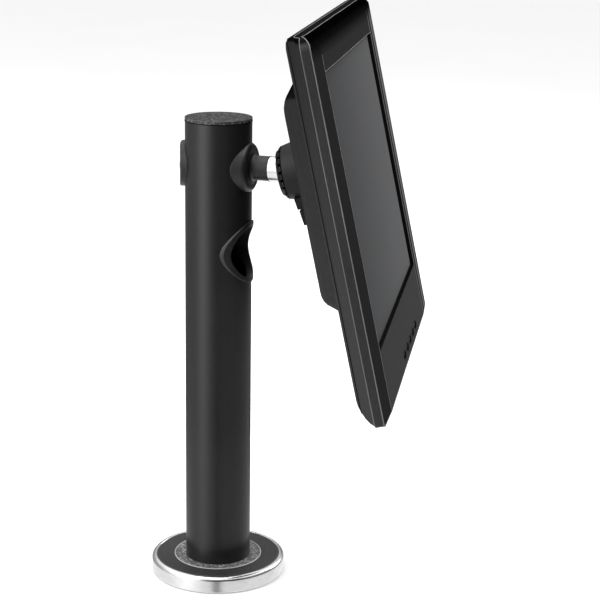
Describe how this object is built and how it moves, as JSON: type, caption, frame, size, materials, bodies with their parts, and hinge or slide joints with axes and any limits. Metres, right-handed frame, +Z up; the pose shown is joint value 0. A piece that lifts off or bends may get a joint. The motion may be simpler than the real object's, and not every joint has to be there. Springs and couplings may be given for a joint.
{
  "type": "pos touchscreen terminal",
  "caption": "Sales counter touchscreen display on a ball joint at the front of a thick round pole with an oval cable port and a low round base with a bright rim.",
  "frame": {"origin": "on the counter, at the pole's axis", "axes": "+Z up along the pole, -Y towards the user's side, where the display hangs, +X to the user's right"},
  "size_m": [0.392, 0.2629, 0.5229],
  "materials": {
    "pole_paint": "satin",
    "cap_plastic": "matte",
    "trim_chrome": "polished",
    "disc_plastic": "satin",
    "seat_plastic": "matte",
    "steel": "satin",
    "stud_steel": "satin",
    "pad_rubber": "matte",
    "grommet_plastic": "satin",
    "arm_paint": "satin",
    "joint_plastic": "matte",
    "head_plastic": "matte",
    "shell_plastic": "matte",
    "bezel_plastic": "satin",
    "key_plastic": "satin",
    "screw_steel": "satin",
    "screen_glass": "satin",
    "panel_face": "satin",
    "tray_steel": "satin",
    "board_green": "satin",
    "foam": "matte"
  },
  "bodies": {
    "stand": {"base_pad": "pad_rubber", "base_flange": "steel", "foot_screws": "screw_steel", "base_trim_ring": "trim_chrome", "base_cover_disc": "disc_plastic", "pole_foot": "steel", "pole_seat_ring": "seat_plastic", "pole_tube": "pole_paint", "pole_cap": "cap_plastic", "cable_grommet": "grommet_plastic", "rear_saddle": "arm_paint", "arm_bolt": "steel", "arm_boss": "arm_paint", "ball_stud": "stud_steel"},
    "pan_liner": {"ball_liner": "joint_plastic"},
    "tilt_cup": {"pressure_cup": "joint_plastic"},
    "display": {"head_housing": "head_plastic", "wave_spring": "steel", "vesa_plate": "arm_paint", "vesa_screws": "screw_steel", "housing_screws": "screw_steel", "rear_cover": "shell_plastic", "mid_frame": "shell_plastic", "shell_screws": "screw_steel", "front_bezel": "bezel_plastic", "key_board": "board_green", "touch_glass": "screen_glass", "bezel_gasket": "foam", "lcd_panel": "panel_face", "panel_tray": "tray_steel", "main_board": "board_green", "power_board": "board_green", "touch_board": "board_green", "board_standoffs": "steel", "board_screws": "screw_steel", "io_connectors": "steel", "panel_cable": "foam"},
    "friction_ring": {"adjusting_ring": "head_plastic"},
    "latch": {"release_latch": "head_plastic"},
    "button_1": {"key_1": "key_plastic"},
    "button_2": {"key_2": "key_plastic"},
    "button_3": {"key_3": "key_plastic"},
    "button_4": {"key_4": "key_plastic"},
    "button_5": {"key_5": "key_plastic"}
  },
  "joints": [
    {"name": "pan", "type": "hinge", "parent": "stand", "child": "pan_liner", "pos_m": [0, -0.073, 0.3862], "axis": [0, 0, 1], "range_deg": [-22, 6]},
    {"name": "tilt", "type": "hinge", "parent": "pan_liner", "child": "tilt_cup", "pos_m": [0, -0.073, 0.3862], "axis": [-0.9903, -0.1392, 0], "range_deg": [-27.2, 5.8]},
    {"name": "turn", "type": "hinge", "parent": "tilt_cup", "child": "display", "pos_m": [0, -0.073, 0.3862], "axis": [0.136, -0.9679, 0.2113], "range_deg": [-90, 90]},
    {"name": "ring_turn", "type": "hinge", "parent": "display", "child": "friction_ring", "pos_m": [0, -0.073, 0.3862], "axis": [0.136, -0.9679, 0.2113], "range_deg": [-30, 30]},
    {"name": "latch_slide", "type": "slide", "parent": "display", "child": "latch", "axis": [-0.0294, 0.2093, 0.9774], "range_m": [0, 0.0015], "stiffness_N_per_m": 400, "springref_m": -0.002},
    {"name": "press_1", "type": "slide", "parent": "display", "child": "button_1", "axis": [-0.136, 0.9679, -0.2113], "range_m": [0, 0.0006], "stiffness_N_per_m": 300, "springref_m": -0.0005},
    {"name": "press_2", "type": "slide", "parent": "display", "child": "button_2", "axis": [-0.136, 0.9679, -0.2113], "range_m": [0, 0.0006], "stiffness_N_per_m": 300, "springref_m": -0.0005},
    {"name": "press_3", "type": "slide", "parent": "display", "child": "button_3", "axis": [-0.136, 0.9679, -0.2113], "range_m": [0, 0.0006], "stiffness_N_per_m": 300, "springref_m": -0.0005},
    {"name": "press_4", "type": "slide", "parent": "display", "child": "button_4", "axis": [-0.136, 0.9679, -0.2113], "range_m": [0, 0.0006], "stiffness_N_per_m": 300, "springref_m": -0.0005},
    {"name": "press_5", "type": "slide", "parent": "display", "child": "button_5", "axis": [-0.136, 0.9679, -0.2113], "range_m": [0, 0.0006], "stiffness_N_per_m": 300, "springref_m": -0.0005}
  ]
}
